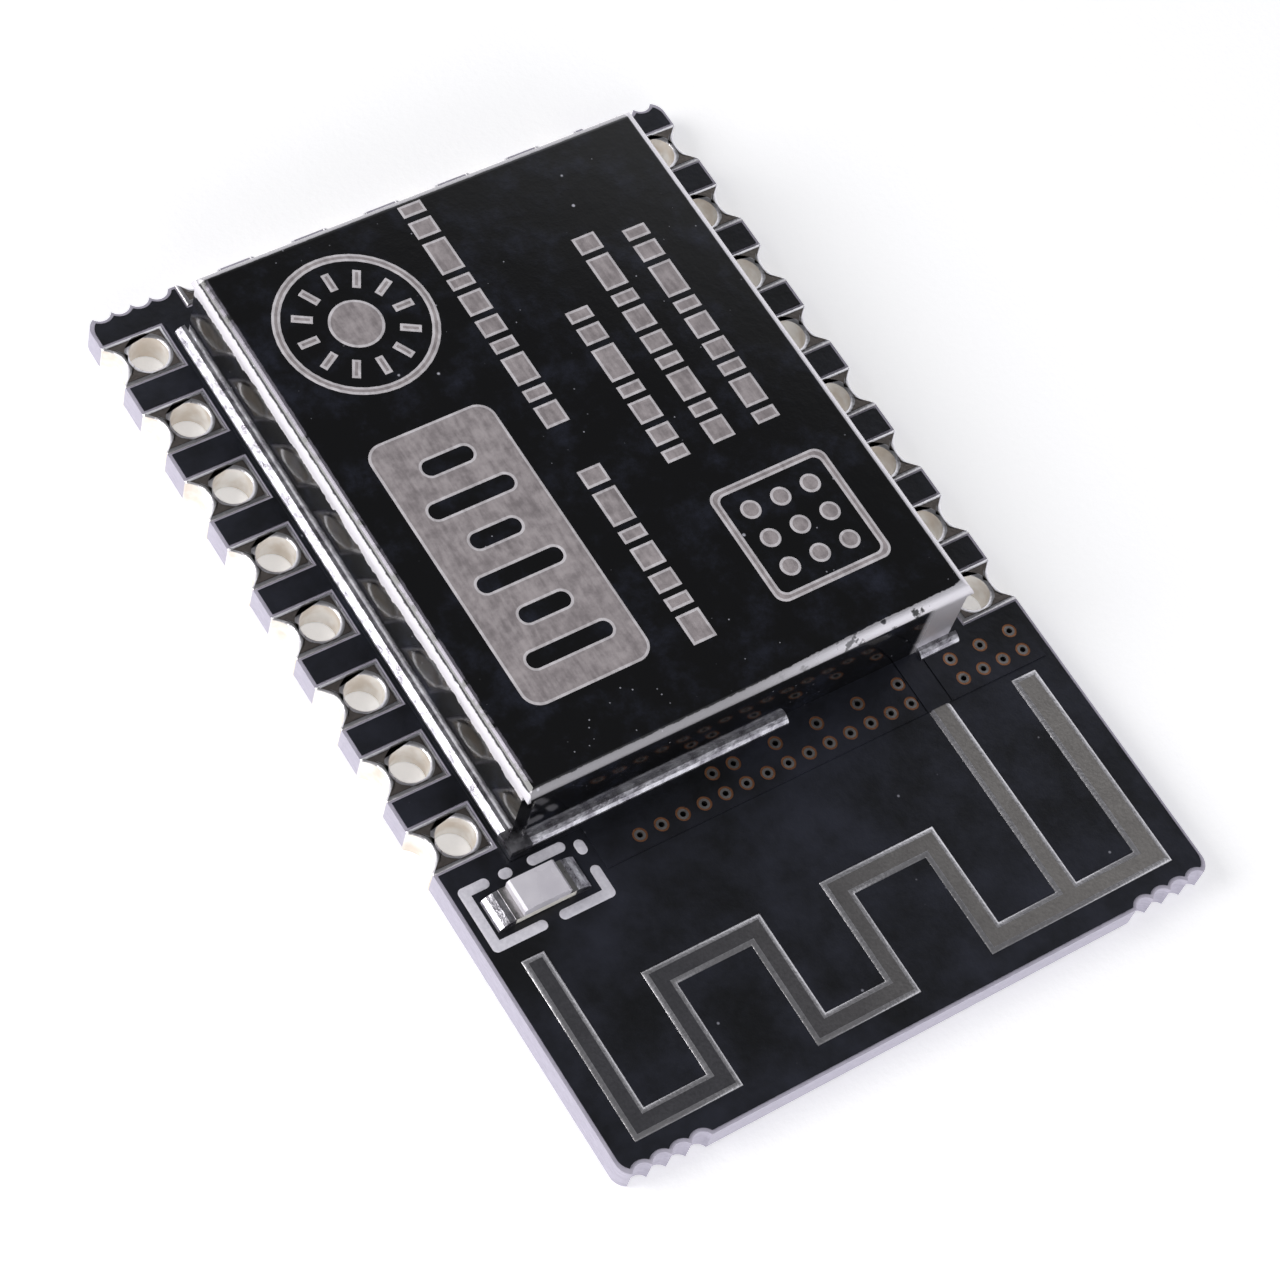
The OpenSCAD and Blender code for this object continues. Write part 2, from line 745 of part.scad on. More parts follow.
// Printed marks on the shield: a dial, a striped panel, a dotted frame and rows of bars
module bar_row(first, last) {
    for (i = [first : last])
        translate([0, bar_start(i) - bar_start(first)]) square([bar_w, bar_lengths[i]]);
}
module dial_mark() {
    difference() {
        circle(dial_r);
        circle(dial_r - mark_line);
    }
    circle(dial_hub_r);
    for (i = [0 : dial_ticks - 1])
        rotate(i * 360 / dial_ticks)
            translate([dial_tick_in, -mark_line / 2]) square([dial_tick_l, mark_line]);
}
module striped_panel() {
    difference() {
        round_rect(panel.x, panel.y, panel_r);
        for (i = [0 : panel_slots - 1])
            translate([0, (i - (panel_slots - 1) / 2) * panel.y / (panel_slots + 1)])
                round_rect(i % 2 == 0 ? panel_slot_l : panel_short_slot_l, panel_slot_w, panel_slot_r);
    }
}
module dotted_frame() {
    difference() {
        round_rect(dot_frame_w, dot_frame_w, dot_frame_r);
        round_rect(dot_frame_w - 2 * mark_line, dot_frame_w - 2 * mark_line, dot_frame_r - mark_line / 2);
    }
    for (x = [0 : dot_rows - 1], y = [0 : dot_rows - 1])
        translate([(x - (dot_rows - 1) / 2) * dot_pitch, (y - (dot_rows - 1) / 2) * dot_pitch])
            circle(dot_r);
}
module shield_print_area() {
    translate(dial_at) dial_mark();
    translate(panel_at) striped_panel();
    translate(dot_frame_at) dotted_frame();
    for (row = bar_rows) translate([row[0], row[1]]) bar_row(row[2], row[3]);
}
module shield_print() {
    color([0.6, 0.58, 0.58])
        translate([0, shield_mid, shield_top]) linear_extrude(print_t) shield_print_area();
}

module shield_solder_bead() {
    color([0.8, 0.79, 0.8]) translate([0, 0, board_t]) {
        at_left_bead() bead(shield_l - bend_r);
        at_front_bead() bead(front_bead_l);
        linear_extrude(bead_h) bead_corner_area();
    }
}
module shield_solder_dabs() {
    color([0.8, 0.79, 0.8]) translate([0, 0, board_t]) at_dabs() bead(dab_l);
}

// --- The status light ---

module led_place() {
    translate([led_x, led_y, board_t]) children();
}
module led_core() {
    h = led_base_h - 2 * led_foil_t;
    translate([-led_l / 2 + led_foil_t, -led_w / 2, led_foil_t])
        cube([led_l - 2 * led_foil_t, led_w, h]);
}
module led_base() {
    color([0.86, 0.85, 0.82]) led_place() led_core();
}
module led_lens() {
    color([0.74, 0.72, 0.76]) led_place()
        translate([0, led_w / 2, led_base_h - led_foil_t]) rotate([90, 0, 0])
            linear_extrude(led_w)
                polygon([[-led_lens_x, 0], [led_lens_x, 0],
                         [led_lens_x, led_lens_h - led_chamfer],
                         [led_lens_x - led_chamfer, led_lens_h],
                         [-led_lens_x + led_chamfer, led_lens_h],
                         [-led_lens_x, led_lens_h - led_chamfer]]);
}
module led_terminals() {
    color([0.8, 0.78, 0.74]) led_place()
        for (s = [0, 180]) rotate(s) difference() {
            translate([led_l / 2 - led_terminal_l, -led_w / 2, 0])
                cube([led_terminal_l, led_w, led_base_h]);
            led_core();
        }
}
module led_solder() {
    color([0.82, 0.81, 0.82]) led_place()
        for (s = [0, 180]) rotate(s)
            translate([led_l / 2, led_w / 2, 0]) rotate([90, 0, 0]) linear_extrude(led_w)
                polygon(fillet_section(led_solder_l, led_solder_h));
}
// Broken frame of printed strokes around the light
module led_frame_print() {
    x = frame_l / 2;
    y = frame_w / 2;
    color([0.9, 0.9, 0.92])
        translate([frame_x, frame_y, mask_top]) linear_extrude(ink_t) {
            stroke([-x, y], [frame_rear_first, y], stroke_w);
            stroke([-x, y], [-x, -y], stroke_w);
            stroke([-x, -y], [frame_front_break[0], -y], stroke_w);
            stroke([frame_front_break[1], -y], [x, -y], stroke_w);
            stroke([x, -y], [x, frame_side_break[0]], stroke_w);
            stroke([x, frame_side_break[1]], [x, y - frame_side_gap], stroke_w);
            stroke([frame_rear_dash[0], y], [frame_rear_dash[1], y], stroke_w);
            stroke([frame_rear_last, y], [x - frame_corner_gap, y], stroke_w);
        }
}

// --- Parts inside the shield ---

module on_board(at) {
    translate([at.x, at.y, board_t]) children();
}
module radio_chip() {
    color([0.13, 0.13, 0.14]) on_board(radio_at)
        translate([-radio_w / 2, -radio_w / 2, lead_foil_t])
            cube([radio_w, radio_w, radio_h - lead_foil_t]);
}
module radio_chip_leads() {
    color([0.78, 0.77, 0.75]) on_board(radio_at) linear_extrude(lead_foil_t) radio_leads_area();
}
module memory_chip() {
    color([0.13, 0.13, 0.14]) on_board(memory_at)
        translate([-memory_w / 2, -memory_w / 2, memory_stand])
            cube([memory_w, memory_w, memory_h - memory_stand]);
}
// Gull-wing leads: out of the body's side, down and out to a flat foot
module memory_chip_leads() {
    out = memory_span / 2;
    body = memory_w / 2;
    mid = (memory_stand + memory_h) / 2;
    knee = out - memory_foot_l;
    color([0.78, 0.77, 0.75]) on_board(memory_at) at_memory_leads()
        translate([0, memory_lead_w / 2, 0]) rotate([90, 0, 0]) linear_extrude(memory_lead_w)
            polygon([[body, mid - memory_lead_t / 2], [body, mid + memory_lead_t / 2],
                     [knee + memory_lead_t, mid + memory_lead_t / 2],
                     [knee + memory_lead_t, memory_lead_t], [out, memory_lead_t], [out, 0],
                     [knee, 0], [knee, mid - memory_lead_t / 2]]);
}
module crystal_base() {
    color([0.75, 0.73, 0.68]) on_board(crystal_at)
        translate([-crystal_w / 2, -crystal_l / 2, 0])
            cube([crystal_w, crystal_l, crystal_h - crystal_cap_h]);
}
module crystal_cap() {
    color([0.8, 0.79, 0.76]) on_board(crystal_at)
        translate([0, 0, crystal_h - crystal_cap_h]) linear_extrude(crystal_cap_h)
            round_rect(crystal_w - 2 * crystal_cap_in, crystal_l - 2 * crystal_cap_in, crystal_cap_r);
}

// The body of a chip part between its two metal ends, and the ends
module chip_bodies(list, h) {
    translate([0, 0, board_t]) linear_extrude(h) at_chips(list)
        square([chip_l - 2 * chip_end_l, chip_w], center = true);
}
module chip_ends(list, h) {
    translate([0, 0, board_t]) linear_extrude(h) at_chips(list)
        for (s = [-1, 1])
            translate([s * (chip_l - chip_end_l) / 2, 0])
                square([chip_end_l, chip_w], center = true);
}
module capacitor_bodies() {
    color([0.68, 0.55, 0.42]) chip_bodies(capacitor_at, capacitor_h);
}
module capacitor_ends() {
    color([0.8, 0.79, 0.78]) chip_ends(capacitor_at, capacitor_h);
}
module resistor_bodies() {
    color([0.12, 0.12, 0.13]) chip_bodies(resistor_at, resistor_h);
}
module resistor_ends() {
    color([0.8, 0.79, 0.78]) chip_ends(resistor_at, resistor_h);
}
module coil_bodies() {
    color([0.3, 0.42, 0.4]) chip_bodies(coil_at, capacitor_h);
}
module coil_ends() {
    color([0.8, 0.79, 0.78]) chip_ends(coil_at, capacitor_h);
}

board_laminate();
solder_mask_top();
solder_mask_bottom();
pads_left();
pads_right();
pads_rear();
antenna_trace();
ground_copper();
ground_vias();
component_lands();
shield_can();
shield_print();
shield_solder_bead();
shield_solder_dabs();
led_base();
led_lens();
led_terminals();
led_solder();
led_frame_print();
radio_chip();
radio_chip_leads();
memory_chip();
memory_chip_leads();
crystal_base();
crystal_cap();
capacitor_bodies();
capacitor_ends();
resistor_bodies();
resistor_ends();
coil_bodies();
coil_ends();
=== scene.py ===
# %% [markdown]
# # A surface-mount radio module
# The real object is a thumbnail-sized circuit board with plated half-holes along three
# edges, a printed antenna, a tiny status light and a black metal can soldered over the
# chips. The measured model comes in as a fixed frame, and this lesson dresses it: where a
# part only needs a finish it keeps its solid, and where the eye wants rounded copper, raised
# print or a folded sheet, a new piece stands in for the solid.

# %% Load the measured model
import math

import bmesh
import bpy
from mathutils import Matrix, Vector


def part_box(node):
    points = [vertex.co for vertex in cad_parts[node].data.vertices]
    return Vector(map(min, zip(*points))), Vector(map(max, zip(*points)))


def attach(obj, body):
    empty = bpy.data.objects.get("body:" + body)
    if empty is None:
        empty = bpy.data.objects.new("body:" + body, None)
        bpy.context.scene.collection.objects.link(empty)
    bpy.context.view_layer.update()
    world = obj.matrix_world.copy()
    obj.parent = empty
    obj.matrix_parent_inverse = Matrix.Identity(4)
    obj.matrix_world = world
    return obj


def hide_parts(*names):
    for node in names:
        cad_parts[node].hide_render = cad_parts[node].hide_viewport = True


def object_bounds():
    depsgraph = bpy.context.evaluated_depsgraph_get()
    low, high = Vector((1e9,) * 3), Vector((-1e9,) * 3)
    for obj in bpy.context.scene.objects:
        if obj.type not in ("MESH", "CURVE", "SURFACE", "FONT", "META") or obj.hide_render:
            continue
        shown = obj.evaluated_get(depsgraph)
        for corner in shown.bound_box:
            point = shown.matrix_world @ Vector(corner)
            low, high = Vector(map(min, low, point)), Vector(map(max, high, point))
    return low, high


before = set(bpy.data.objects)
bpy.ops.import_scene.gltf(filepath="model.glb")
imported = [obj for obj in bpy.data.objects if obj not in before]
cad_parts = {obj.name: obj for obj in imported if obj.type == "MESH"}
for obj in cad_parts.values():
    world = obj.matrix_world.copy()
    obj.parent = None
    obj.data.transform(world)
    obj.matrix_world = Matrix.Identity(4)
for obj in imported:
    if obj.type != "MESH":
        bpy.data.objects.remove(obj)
SOLIDS_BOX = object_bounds()
MM = 0.001
print("solids", len(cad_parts), "box in mm", [[round(c / MM, 2) for c in p] for p in SOLIDS_BOX])

# %% [markdown]
# ## Light, floor and camera
# A small glossy thing shows its surroundings more than itself. On a pale sweep every upright
# face and bend mirrors something bright, and a dark space overhead keeps the flat black top
# black. A sky whose brightness depends on
# height does that with no lamps in the mirror, and one big soft lamp on the left gives the
# shapes their side light.

# %% Sky
def sky(low, high, start, stop):
    """A grey surround that fades from the brightness low to high between two heights."""
    world = bpy.data.worlds.new("studio_surround")
    bpy.context.scene.world = world
    world.use_nodes = True
    tree = world.node_tree
    place = tree.nodes.new("ShaderNodeTexCoord")
    split = tree.nodes.new("ShaderNodeSeparateXYZ")
    tree.links.new(place.outputs["Generated"], split.inputs[0])
    fade = tree.nodes.new("ShaderNodeMapRange")
    for socket, value in zip(("From Min", "From Max", "To Min", "To Max"), (start, stop, low, high)):
        fade.inputs[socket].default_value = value
    tree.links.new(split.outputs["Z"], fade.inputs["Value"])
    tree.links.new(fade.outputs["Result"], tree.nodes["Background"].inputs["Strength"])
    tree.nodes["Background"].inputs["Color"].default_value = (0.96, 0.97, 1.0, 1)


sky(low=1.05, high=0.1, start=0.42, stop=0.78)

# %% [markdown]
# ### Lamps
# One wide lamp low on the left models the shapes, and a weaker one in front opens the
# shadows. Both stand low, out of the direction that the can's flat top mirrors, so they
# light it without showing in it. An area lamp shines along its own -Z axis, so it is turned
# until that axis points at the module.

# %% Lamps
def soft_lamp(name, at, size, watts, aim=(0, 0, 0)):
    lamp = bpy.data.lights.new(name, "AREA")
    lamp.size = size * MM
    lamp.energy = watts
    lamp.color = (1.0, 0.985, 0.97)
    holder = bpy.data.objects.new(name, lamp)
    bpy.context.scene.collection.objects.link(holder)
    holder.location = Vector(at) * MM
    direction = (Vector(aim) - Vector(at)).normalized()
    holder.rotation_euler = direction.to_track_quat("-Z", "Y").to_euler()
    return holder


soft_lamp("left_softbox", at=(-110, 40, 80), size=80, watts=0.11)
soft_lamp("front_fill", at=(-30, -130, 60), size=90, watts=0.05)

# %% [markdown]
# ### Camera
# Tracking an axis to the aim fixes where the camera looks but leaves it level. The small
# extra turn about its own axis is made in camera space, so it comes last in the product.

# %% Camera
# A long lens held over the front left-hand corner, turned a little about its own axis.
CAMERA_AT = Vector((-34.46, -29.65, 71.28)) * MM
CAMERA_AIM = Vector((-0.737, -1.063, 0.8)) * MM
CAMERA_ROLL = math.radians(20.35)
LENS = 102.86


def set_camera(at, aim, roll, lens):
    """A camera at one point, aimed at another and then rolled about its own axis."""
    camera = bpy.data.cameras.new("camera")
    camera.lens = lens
    camera.clip_start = MM
    camera.clip_end = 10
    holder = bpy.data.objects.new("camera", camera)
    bpy.context.scene.collection.objects.link(holder)
    turn = (aim - at).to_track_quat("-Z", "Y").to_matrix().to_4x4()
    holder.matrix_world = Matrix.Translation(at) @ turn @ Matrix.Rotation(roll, 4, "Z")
    bpy.context.scene.camera = holder


set_camera(CAMERA_AT, CAMERA_AIM, CAMERA_ROLL, LENS)
bpy.context.scene.view_settings.view_transform = "Standard"

# %% [markdown]
# ## Finishes as expressions
# A material is a small piece of arithmetic over the surface: noise here, more wear there.
# Written with Python's own operators it reads like that arithmetic. One class holds a
# socket and turns + - * into Math nodes, and a second one builds a material and adds any
# other node with one method.

# %% Sockets that can be added and multiplied
class Value:
    """An output socket of a finish's nodes, which takes part in sums and products."""

    def __init__(self, finish, socket):
        self.finish = finish
        self.socket = socket

    def _math(self, operation, a, b=0.0):
        return self.finish.add("ShaderNodeMath", {"operation": operation}, {0: a, 1: b})

    def __add__(self, other):
        return self._math("ADD", self, other)

    def __sub__(self, other):
        return self._math("SUBTRACT", self, other)

    def __rsub__(self, other):
        return self._math("SUBTRACT", other, self)

    def __mul__(self, other):
        return self._math("MULTIPLY", self, other)

    __radd__ = __add__
    __rmul__ = __mul__

    def clamp(self):
        return self.finish.add("ShaderNodeClamp", {}, {0: self})

    def step(self, low, high):
        """0 below low, 1 above high, and smooth in between."""
        settings = {"interpolation_type": "SMOOTHSTEP"}
        return self.finish.add("ShaderNodeMapRange", settings, {0: self, 1: low, 2: high})


# %% [markdown]
# ### One builder for every material
# Colours are easier to judge as display values, but the shader wants linear ones, so one
# helper converts them. The builder keeps the shader at hand, feeds its sockets by name and
# measures every pattern in millimetres on the piece's own coordinates.

# %% A finish
def tone(red, green, blue):
    """A colour given as display values from 0 to 255, as the shader's linear one."""
    shares = [c / 255 for c in (red, green, blue)]
    linear = [c / 12.92 if c <= 0.04045 else ((c + 0.055) / 1.055) ** 2.4 for c in shares]
    return (*linear, 1.0)


class Finish:
    """A procedural material under construction."""

    def __init__(self, name, **constants):
        self.material = bpy.data.materials.new(name)
        self.material.use_nodes = True
        self.tree = self.material.node_tree
        self.shader = self.tree.nodes["Principled BSDF"]
        self.set(**constants)

    def add(self, kind, settings, sockets, output=0):
        """Adds a node: its settings first, then values or links for its sockets."""
        node = self.tree.nodes.new(kind)
        for key, value in settings.items():
            if key == "stops":
                self._stops(node.color_ramp, value)
            else:
                setattr(node, key, value)
        for key, value in sockets.items():
            self._feed(node.inputs[key], value)
        return Value(self, node.outputs[output])

    def _stops(self, ramp, stops):
        while len(ramp.elements) < len(stops):
            ramp.elements.new(1)
        for element, (position, colour) in zip(ramp.elements, stops):
            element.position = position
            element.color = colour

    def _feed(self, socket, value):
        if isinstance(value, Value):
            self.tree.links.new(value.socket, socket)
        else:
            socket.default_value = value

    def set(self, **sockets):
        """Feeds the shader: base_color=... is its socket Base Color, and so on."""
        for key, value in sockets.items():
            name = key.replace("_", " ").title().replace("Ior", "IOR")
            self._feed(self.shader.inputs[name], value)

    def place(self, scale=(1, 1, 1)):
        """Object coordinates in millimetres, stretched by scale."""
        point = self.add("ShaderNodeTexCoord", {}, {}, "Object")
        size = [s / MM for s in scale]
        return self.add("ShaderNodeVectorMath", {"operation": "MULTIPLY"}, {0: point, 1: size})

    def axes(self):
        """The three object coordinates in millimetres."""
        point = self.place()
        return [self.add("ShaderNodeSeparateXYZ", {}, {0: point}, axis) for axis in "XYZ"]

    def noise(self, per_mm, detail=3.0, rough=0.5, stretch=(1, 1, 1)):
        """Soft clouds from 0 to 1, per_mm of them to a millimetre."""
        sockets = {"Vector": self.place(stretch), "Scale": per_mm, "Detail": detail, "Roughness": rough}
        return self.add("ShaderNodeTexNoise", {}, sockets)

    def cells(self, per_mm):
        """The distance to the nearest of many scattered points, in units of their spacing."""
        sockets = {"Vector": self.place(), "Scale": per_mm}
        return self.add("ShaderNodeTexVoronoi", {}, sockets, "Distance")

    def blend(self, share, first, second):
        """first where share is 0, second where it is 1."""
        settings = {"data_type": "RGBA"}
        return self.add("ShaderNodeMix", settings, {"Factor": share, 6: first, 7: second}, 2)

    def bump(self, height, depth_mm, strength=1.0):
        """Roughens the surface: a height from 0 to 1 stands for depth_mm."""
        sockets = {"Height": height, "Distance": depth_mm * MM, "Strength": strength}
        self.set(normal=self.add("ShaderNodeBump", {}, sockets))


# %% [markdown]
# ## The board's finishes
# The board is glass cloth in resin. Its cut edge is pale and slightly striped by the
# layers of cloth. The lacquer over it is black with a satin gloss, and it is never quite
# level: it has a fine orange peel and swells over the weave.

# %% Laminate, lacquer and ink
def laminate_finish():
    f = Finish("cut_laminate", ior=1.5)
    cloth = f.noise(3.0, stretch=(1, 1, 7))
    grit = f.noise(16.0)
    f.set(base_color=f.blend(cloth * 0.7 + grit * 0.3, tone(150, 146, 162), tone(206, 201, 216)))
    f.set(roughness=0.42 + 0.2 * grit)
    f.bump(grit * 0.5 + cloth, 0.02)
    return f.material


def lacquer_finish():
    f = Finish("solder_lacquer", ior=1.5)
    cloud = f.noise(0.5, detail=6, rough=0.65)
    peel = f.noise(7.0, detail=2)
    dust = (1 - f.cells(1.1).step(0.02, 0.05)) * f.noise(0.8).step(0.45, 0.55)
    base = f.blend(cloud.step(0.3, 0.75), tone(14, 15, 18), tone(38, 40, 51))
    f.set(base_color=f.blend(dust * 0.7, base, tone(150, 150, 160)))
    f.set(roughness=0.26 + 0.14 * cloud + 0.06 * peel)
    f.bump(peel * 0.6 + cloud, 0.012)
    return f.material


def ink_finish():
    f = Finish("white_ink", roughness=0.55)
    grain = f.noise(11.0)
    f.set(base_color=f.blend(grain, tone(196, 194, 205), tone(236, 234, 242)))
    f.bump(grain, 0.012)
    return f.material


LAMINATE = laminate_finish()
LACQUER = lacquer_finish()
INK = ink_finish()

# %% [markdown]
# ## The metals
# Pads and antenna carry a dull grey finish over copper, with a painted highlight on their
# shoulders and painted light in the holes, almost white. Solder is the same tin melted
# thick: brighter, wrinkled, with pits. All are metal to the shader. What sets them apart is
# how rough they are, how pale and how uneven.

# %% Pads, barrels and antenna
def plating_finish(name, dark, light, roughness):
    f = Finish(name, metallic=1.0)
    stain = f.noise(1.1, detail=4)
    grain = f.noise(14.0)
    f.set(base_color=f.blend(stain * 0.65 + grain * 0.35, dark, light))
    f.set(roughness=roughness + 0.2 * grain)
    f.bump(grain, 0.008)
    return f.material


def track_finish():
    """The antenna's plating is duller towards the board's left-hand side."""
    f = Finish("dull_track_plating", metallic=0.9)
    x = f.axes()[0]
    stain = f.noise(1.3, detail=5, rough=0.6)
    grain = f.noise(14.0)
    left = f.blend(stain * 0.6 + grain * 0.4, tone(84, 84, 88), tone(124, 123, 128))
    right = f.blend(stain * 0.6 + grain * 0.4, tone(150, 146, 144), tone(196, 192, 188))
    f.set(base_color=f.blend(x.step(-5.0, 6.0), left, right))
    f.set(roughness=0.34 + 0.16 * grain)
    f.bump(grain * 0.5 + stain, 0.012)
    return f.material


def barrel_finish():
    """Painted light: plating so pale that it stands for the white backdrop seen through the holes and its
    reflection, with random cream patches.
    """
    f = Finish("bright_barrel_plating", metallic=0.35)
    film = f.noise(1.8, detail=3)
    f.set(base_color=f.blend(film.step(0.3, 0.7), tone(252, 250, 247), tone(226, 216, 204)))
    f.set(roughness=0.3 + 0.25 * film)
    f.bump(film, 0.01)
    return f.material


PAD_METAL = plating_finish("dull_pad_plating", tone(100, 94, 92), tone(164, 156, 150), 0.3)
# A pale finish for shoulder faces: a painted highlight.
SHOULDER_HIGHLIGHT = plating_finish("shoulder_painted_highlight", tone(212, 210, 214), tone(246, 244, 248), 0.22)
TRACK_METAL = track_finish()
# Near-white barrels: painted light for the backdrop seen through the holes.
BARREL_METAL = barrel_finish()
COPPER = plating_finish("bare_copper", tone(176, 118, 84), tone(222, 160, 122), 0.3)

# %% [markdown]
# ### Solder
# Solder freezes from its rim inwards and pulls itself into wrinkles. A coarse noise sets
# both its tarnish and its bump, so the dull patches lie in the hollows.

# %% Solder
def solder_finish():
    f = Finish("solder", metallic=1.0)
    wrinkle = f.noise(3.5, detail=4, rough=0.6)
    grain = f.noise(24.0)
    f.set(base_color=f.blend(wrinkle.step(0.3, 0.7), tone(150, 147, 156), tone(232, 231, 238)))
    f.set(roughness=0.2 + 0.2 * wrinkle)
    f.bump(grain * 0.3 + wrinkle, 0.02)
    return f.material


SOLDER = solder_finish()

# %% [markdown]
# ## The can's finishes
# The can is thin steel under a glossy black coat. Handling leaves specks of dust. Pale
# bands along the bends are mostly painted highlights, with some worn coat on the front
# bend and a scuff on the left one. A bend is found by two distances, one from the wall's
# plane and one from the top: both follow from how far the sheet has turned. The marks on top
# are burnt through the coat to a matt grey with paler rims.

# %% Zones on the can's bends
CAN_LOW, CAN_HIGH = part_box("shield_can")
BEND = 0.3
SHEET = 0.2


def bend_zone(inwards, below, first, last, soft=0.012):
    """Where a bend has turned by first to last degrees, from its place in millimetres.

    inwards is the distance from the wall's outer plane and below the one from the top.
    """
    near_wall = BEND * (1 - math.sin(math.radians(first)))
    depth = BEND * (1 - math.cos(math.radians(last)))
    past_first = 1 - inwards.step(near_wall - soft, near_wall + soft)
    return past_first * (1 - below.step(depth - soft, depth + soft))


# %% [markdown]
# The pale bands are painted highlights, coloured like bare metal. The right bend gets a
# clean bright line, and the left one a bright line low down; above it the left bend is
# dull and scuffed, which is wear. The front bend's line is worn coat and painted highlight
# at once, brighter towards the right, where a painted flare spreads over the corner and the
# front wall's right end. The rear bend gets only a faint painted glint.

# %% Coat
def coat_finish():
    f = Finish("black_coat", ior=1.7)
    x, y, z = f.axes()
    left, right = x - CAN_LOW.x / MM, CAN_HIGH.x / MM - x
    front, rear = y - CAN_LOW.y / MM, CAN_HIGH.y / MM - y
    below = CAN_HIGH.z / MM - z
    sway = f.noise(1.4, detail=5, rough=0.65) - 0.5
    nick = f.noise(6.0, detail=4, rough=0.6) - 0.5
    blotch = f.noise(2.6, detail=3)

    # Painted highlights: the right, left and rear lines; the front line is worn coat and painted
    # highlight; the flare is a painted highlight at the front right-hand corner.
    right_highlight = bend_zone(right + 0.02 * nick, below, 7, 75)
    left_highlight = bend_zone(left + 0.06 * nick, below + 0.5 * sway + 0.1 * nick - 0.16, 47, 88)
    rear_glint = bend_zone(rear + 0.04 * nick, below, 14, 64) * 0.6
    rightwards = x.step(-1.0, 4.0)
    front_bend = bend_zone(front - 0.1 * rightwards + 0.07 * nick, below, 27, 76)
    front_wear_and_highlight = front_bend * (0.4 + 0.6 * rightwards) * (1 - blotch.step(0.6, 0.66) * rightwards)
    flare_highlight = 1 - (front + 0.25 * right + 0.1 * nick).step(0.38, 0.41)
    highlight_and_bare = (right_highlight + left_highlight + rear_glint + front_wear_and_highlight + flare_highlight * x.step(4.7, 5.0)).clamp()
    scuff = bend_zone(left + 0.05 * nick, below, 8, 40) * blotch.step(0.32, 0.5)

    large = (1 - f.cells(1.0).step(0.02, 0.055)) * f.noise(0.7).step(0.42, 0.5)
    small = (1 - f.cells(3.4).step(0.03, 0.09)) * f.noise(0.5).step(0.5, 0.6)
    haze = f.noise(0.9, detail=7, rough=0.7)
    coat = f.blend(haze.step(0.45, 0.85), tone(7, 7, 9), tone(38, 41, 54))
    dusty = f.blend((large + small * 0.7).clamp(), coat, tone(188, 188, 198))
    scuffed = f.blend(scuff, dusty, tone(122, 118, 128))
    # Painted highlights and worn coat take the same pale metallic colour here.
    f.set(base_color=f.blend(highlight_and_bare, scuffed, tone(226, 223, 229)))
    f.set(metallic=(highlight_and_bare * 0.75 + scuff * 0.5).clamp())
    f.set(roughness=0.07 + 0.06 * haze + 0.24 * highlight_and_bare + 0.2 * scuff)
    f.bump(haze + 0.15 * nick, 0.006)
    return f.material


# %% [markdown]
# ### Burnt marks
# A mark isn't paint: the beam melts the surface into lumps and leaves streaks along its
# run. Two noises, one stretched, give both, and the same recipe in paler tones does for
# the rims.

# %% Marks
def mark_finish(name, low, high):
    """Burnt metal: lumpy, with streaks along the beam's run."""
    f = Finish(name)
    lumps = f.noise(3.2, detail=4, rough=0.6)
    streaks = f.noise(9.0, stretch=(1, 0.2, 1))
    f.set(base_color=f.blend((lumps * 0.6 + streaks * 0.4).step(0.3, 0.7), low, high))
    f.set(roughness=0.4 + 0.25 * streaks)
    f.bump(lumps + streaks * 0.5, 0.02)
    return f.material


COAT = coat_finish()
MARK = mark_finish("burnt_mark", tone(126, 119, 121), tone(172, 164, 166))
MARK_RIM = mark_finish("burnt_mark_rim", tone(178, 173, 176), tone(216, 212, 216))

# %% [markdown]
# ## Small parts' finishes
# The status light is milky resin on white ceramic with tinned ends. Under the can are
# black mouldings, tinned leads and ceramic chips, which show only when the can is off, but
# they get their finishes all the same.

# %% Resin, ceramics and mouldings
def plain_finish(name, low, high, roughness, per_mm=6.0, depth=0.008, **constants):
    f = Finish(name, **constants)
    grain = f.noise(per_mm, detail=4)
    f.set(base_color=f.blend(grain, low, high))
    f.set(roughness=roughness + 0.15 * grain)
    f.bump(grain, depth)
    return f.material


RESIN = plain_finish("milky_resin", tone(196, 192, 202), tone(226, 223, 230), 0.2, 2.0, coat_weight=0.5)
LIGHT_CERAMIC = plain_finish("white_ceramic", tone(206, 202, 194), tone(228, 225, 218), 0.4)
TIN = plain_finish("tin_plate", tone(176, 173, 172), tone(222, 220, 219), 0.22, metallic=1.0)
MOULDING = plain_finish("black_moulding", tone(34, 34, 36), tone(52, 52, 54), 0.5)
TAN_CERAMIC = plain_finish("tan_ceramic", tone(168, 138, 106), tone(196, 166, 132), 0.45)
GLAZE = plain_finish("black_glaze", tone(20, 20, 22), tone(36, 36, 38), 0.2)
COIL_CERAMIC = plain_finish("green_ceramic", tone(86, 116, 110), tone(112, 142, 134), 0.4)
LID = plain_finish("plated_lid", tone(186, 182, 172), tone(220, 216, 206), 0.25, metallic=1.0)

# %% [markdown]
# ## Solids that keep their shape
# Every solid of the frame gets a finish here, also the hidden ones. Those that a new piece
# replaces further down are hidden then.

